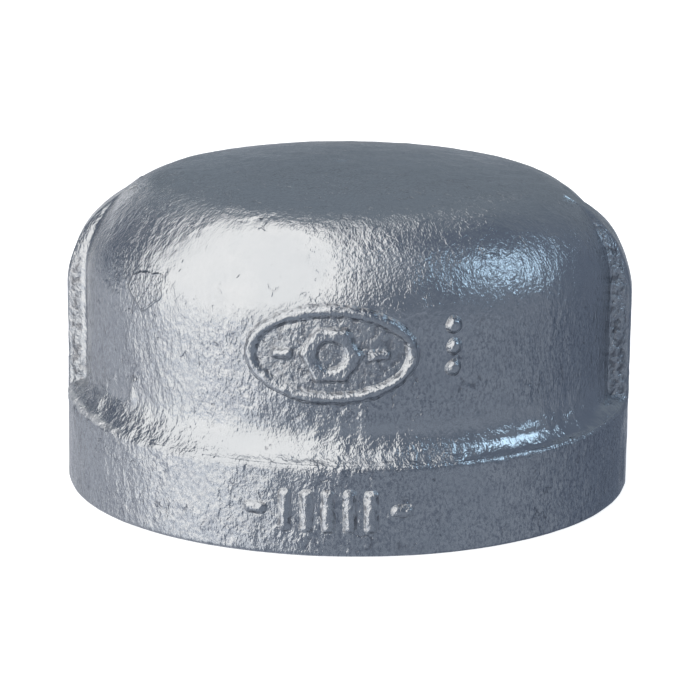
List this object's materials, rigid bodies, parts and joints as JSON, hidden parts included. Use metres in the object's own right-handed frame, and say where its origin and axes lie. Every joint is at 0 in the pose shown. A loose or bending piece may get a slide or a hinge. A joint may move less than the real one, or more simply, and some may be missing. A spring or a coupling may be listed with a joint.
{
  "type": "pipe cap",
  "caption": "Round banded iron pipe cap with two side ribs, a domed closed end and an internal pipe thread; screws onto a pipe's end to close it.",
  "frame": {"origin": "centre of the mouth's rim plane, on the thread's axis", "axes": "+Z along the thread's axis from the mouth to the closed crown; -Y towards the raised medallion; the two side ribs at +X and -X"},
  "size_m": [0.053, 0.0533, 0.0304],
  "materials": {
    "galvanised_casting": "hot-dip zinc on a sand-cast skin: dull blue-grey metal with fine orange-peel grain, pits and bright smooth runs along the fillets",
    "tapped_iron": "machined after galvanising: bare dark iron with tool marks and a trace of oil"
  },
  "bodies": {
    "root": {"crown_shell": "galvanised_casting", "mouth_band": "galvanised_casting", "threaded_socket": "tapped_iron", "side_rib_left": "galvanised_casting", "side_rib_right": "galvanised_casting", "medallion_rim": "galvanised_casting", "medallion_hexagon": "galvanised_casting", "pattern_dots": "galvanised_casting", "band_tally_bars": "galvanised_casting"}
  },
  "joints": []
}
